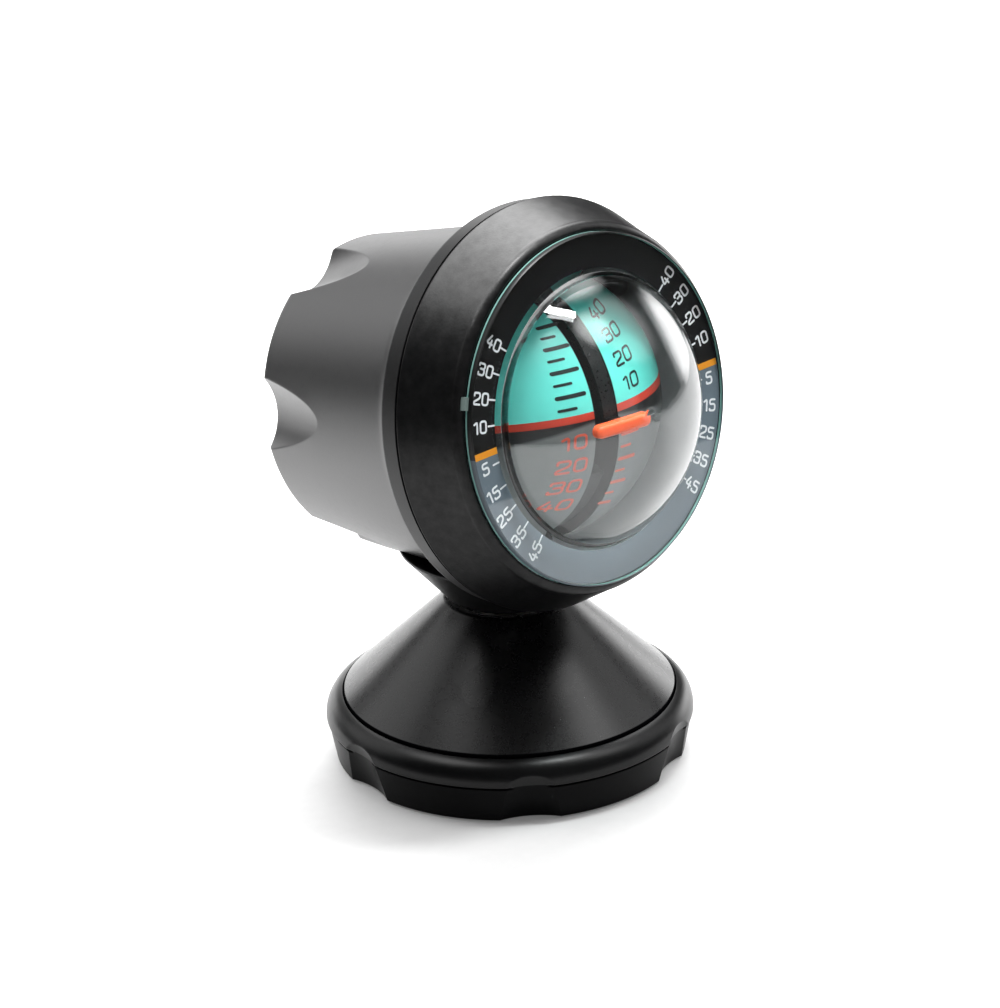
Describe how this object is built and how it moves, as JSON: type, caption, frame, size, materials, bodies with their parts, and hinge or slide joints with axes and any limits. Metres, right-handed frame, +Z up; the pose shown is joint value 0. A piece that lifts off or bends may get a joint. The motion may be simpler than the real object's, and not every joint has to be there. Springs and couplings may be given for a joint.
{
  "type": "inclinometer",
  "caption": "Stick-on vehicle inclinometer: a round black head with a domed dial and a floating pitch and roll ball, on a ball-jointed cone base.",
  "frame": {"origin": "centre of the sticky face under the base", "axes": "+Z up out of the mounting surface, -Y the way the dial faces, +X to the right of somebody who reads the dial"},
  "size_m": [0.0602, 0.0621, 0.0873],
  "materials": {
    "foam_pad": "white double sided foam tape, matt",
    "base_black": "black moulded ABS, fine satin texture",
    "ring_black": "black moulded ABS, fine satin texture",
    "plate_black": "black moulded ABS, plain back",
    "foot_black": "black moulded ABS, satin",
    "stud_nylon": "natural acetal, smooth",
    "seat_nylon": "natural nylon, smooth",
    "zinc_steel": "zinc plated steel",
    "spring_steel": "spring steel",
    "cup_black": "black moulded ABS, fine satin texture",
    "bezel_black": "black moulded ABS, fine satin texture",
    "clear_dome": "clear polished polycarbonate",
    "dial_print": "printed dial: black upper half, blue-grey lower half, white numbers, amber zero bars",
    "seal_black": "black rubber",
    "bowl_black": "dark grey moulded ABS",
    "plug_black": "black rubber",
    "brass": "turned brass",
    "axle_steel": "ground stainless steel",
    "frame_black": "black moulded acetal",
    "weight_steel": "blackened steel",
    "pointer_red": "orange-red painted plastic",
    "globe_print": "printed ball: teal above, red band at the horizon, black and grey below, with degree marks"
  },
  "bodies": {
    "base": {"adhesive_pad": "foam_pad", "base_plate": "plate_black", "base_ring": "ring_black", "base_cone": "base_black", "base_screws": "zinc_steel", "seat_spring": "spring_steel"},
    "seat": {"ball_seat": "seat_nylon"},
    "ball": {"ball_stud": "stud_nylon", "stem_clip": "spring_steel"},
    "head": {"foot": "foot_black", "foot_screws": "zinc_steel", "stem_washer": "zinc_steel", "rear_cup": "cup_black", "bezel": "bezel_black", "dome_lens": "clear_dome", "dial_ring": "dial_print", "dome_seal": "seal_black", "capsule_bowl": "bowl_black", "filler_plug": "plug_black", "front_bush": "brass", "rear_bush": "brass"},
    "roll_works": {"roll_shaft": "axle_steel", "shaft_clip": "spring_steel", "roll_frame": "frame_black", "roll_weight": "weight_steel", "pointer_bar": "pointer_red", "axle_bush": "brass"},
    "globe": {"pitch_axle": "axle_steel", "axle_washers": "stud_nylon", "left_globe": "globe_print", "right_globe": "globe_print", "left_ballast": "weight_steel", "right_ballast": "weight_steel"}
  },
  "joints": [
    {"name": "ball_swivel", "type": "hinge", "parent": "base", "child": "seat", "pos_m": [0, 0, 0.0145], "axis": [0, 0, 1], "continuous": true},
    {"name": "ball_lean", "type": "hinge", "parent": "seat", "child": "ball", "pos_m": [0, 0, 0.0145], "axis": [1, 0, 0], "range_deg": [-15, 15]},
    {"name": "head_turn", "type": "hinge", "parent": "ball", "child": "head", "pos_m": [0, 0, 0.0302], "axis": [0, 0, 1], "continuous": true},
    {"name": "roll", "type": "hinge", "parent": "head", "child": "roll_works", "pos_m": [0, -0.019, 0.0594], "axis": [0, -0.9826, 0.1857], "continuous": true},
    {"name": "pitch", "type": "hinge", "parent": "roll_works", "child": "globe", "pos_m": [0, -0.00505, 0.05676], "axis": [0.9991, -0.0078, -0.0411], "continuous": true}
  ]
}
